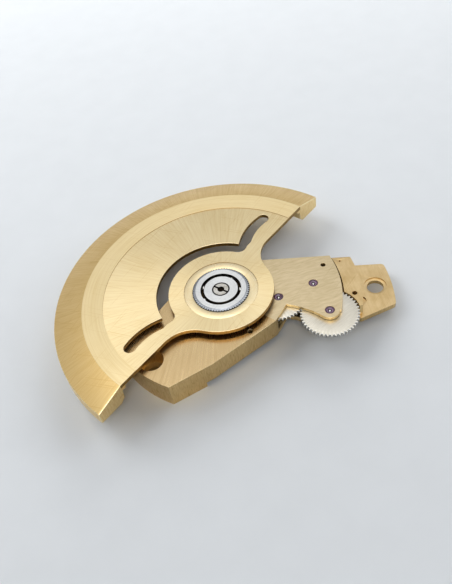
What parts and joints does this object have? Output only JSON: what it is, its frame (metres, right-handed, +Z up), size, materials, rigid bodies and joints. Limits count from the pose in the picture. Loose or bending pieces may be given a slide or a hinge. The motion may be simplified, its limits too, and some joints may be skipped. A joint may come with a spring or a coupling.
{
  "type": "automatic watch rotor",
  "caption": "Half-disc winding rotor on a ball bearing, with its bridges, jewels, reverser wheels and screw lug.",
  "frame": {"origin": "rotor axis at the lower bridge's main underside", "axes": "+Z up along the rotor axis, +X from the rotor axis to the screw lug, at rest"},
  "size_m": [0.0255, 0.0218, 0.0028],
  "materials": {
    "bridge_brass": "gilt, brushed tops and matt sides",
    "rotor_gilt": "gilt, brushed in arcs",
    "polished_gilt": "polished",
    "cage_brass": "plain",
    "bearing_steel": "turned",
    "wheel_steel": "smooth, silver",
    "ruby": "polished ruby"
  },
  "bodies": {
    "module": {"lower_bridge": "bridge_brass", "upper_bridge": "bridge_brass", "upper_jewel_1": "ruby", "upper_jewel_2": "ruby", "upper_jewel_3": "ruby", "bearing_post": "bearing_steel", "bearing_inner_ring": "bearing_steel", "bearing_screw": "bearing_steel"},
    "rotor": {"rotor_web": "rotor_gilt", "rotor_weight": "rotor_gilt", "rotor_hub": "polished_gilt", "bearing_outer_ring": "bearing_steel", "rotor_gear": "wheel_steel"},
    "cage": {"ball_cage": "cage_brass", "bearing_balls": "bearing_steel"},
    "first_wheel": {"reverser_1_wheel": "wheel_steel", "reverser_1_clicks": "wheel_steel", "reverser_1_click_pins": "wheel_steel"},
    "first_arbor": {"reverser_1_arbor": "wheel_steel"},
    "second_wheel": {"reverser_2_wheel": "wheel_steel", "reverser_2_clicks": "wheel_steel", "reverser_2_click_pins": "wheel_steel"},
    "second_arbor": {"reverser_2_arbor": "wheel_steel"},
    "reduction": {"reduction_arbor": "wheel_steel", "reduction_wheel": "wheel_steel"}
  },
  "joints": [
    {"name": "rotor_spin", "type": "hinge", "parent": "module", "child": "rotor", "pos_m": [0, 0, 0.00208], "axis": [0, 0, 1], "continuous": true},
    {"name": "cage_spin", "type": "hinge", "parent": "module", "child": "cage", "pos_m": [0, 0, 0.001], "axis": [0, 0, 1], "continuous": true},
    {"name": "first_wheel_spin", "type": "hinge", "parent": "module", "child": "first_wheel", "pos_m": [0.00413, -0.00088, 0.001], "axis": [0, 0, 1], "continuous": true},
    {"name": "second_wheel_spin", "type": "hinge", "parent": "module", "child": "second_wheel", "pos_m": [0.0076, -0.00276, 0.001], "axis": [0, 0, 1], "continuous": true},
    {"name": "first_arbor_spin", "type": "hinge", "parent": "module", "child": "first_arbor", "pos_m": [0.00413, -0.00088, 0.001], "axis": [0, 0, 1], "continuous": true},
    {"name": "reduction_spin", "type": "hinge", "parent": "module", "child": "reduction", "pos_m": [0.00685, 0, 0.001], "axis": [0, 0, 1], "continuous": true},
    {"name": "second_arbor_spin", "type": "hinge", "parent": "module", "child": "second_arbor", "pos_m": [0.0076, -0.00276, 0.001], "axis": [0, 0, 1], "continuous": true}
  ],
  "couplings": [
    {"joint": "cage_spin", "follows": "rotor_spin", "ratio": 0.57018},
    {"joint": "first_wheel_spin", "follows": "rotor_spin", "ratio": -1.2683},
    {"joint": "second_wheel_spin", "follows": "rotor_spin", "ratio": 1.1304},
    {"joint": "first_arbor_spin", "follows": "rotor_spin", "ratio": -1.2683},
    {"joint": "reduction_spin", "follows": "rotor_spin", "ratio": 1.0818},
    {"joint": "second_arbor_spin", "follows": "rotor_spin", "ratio": -1.2683}
  ]
}
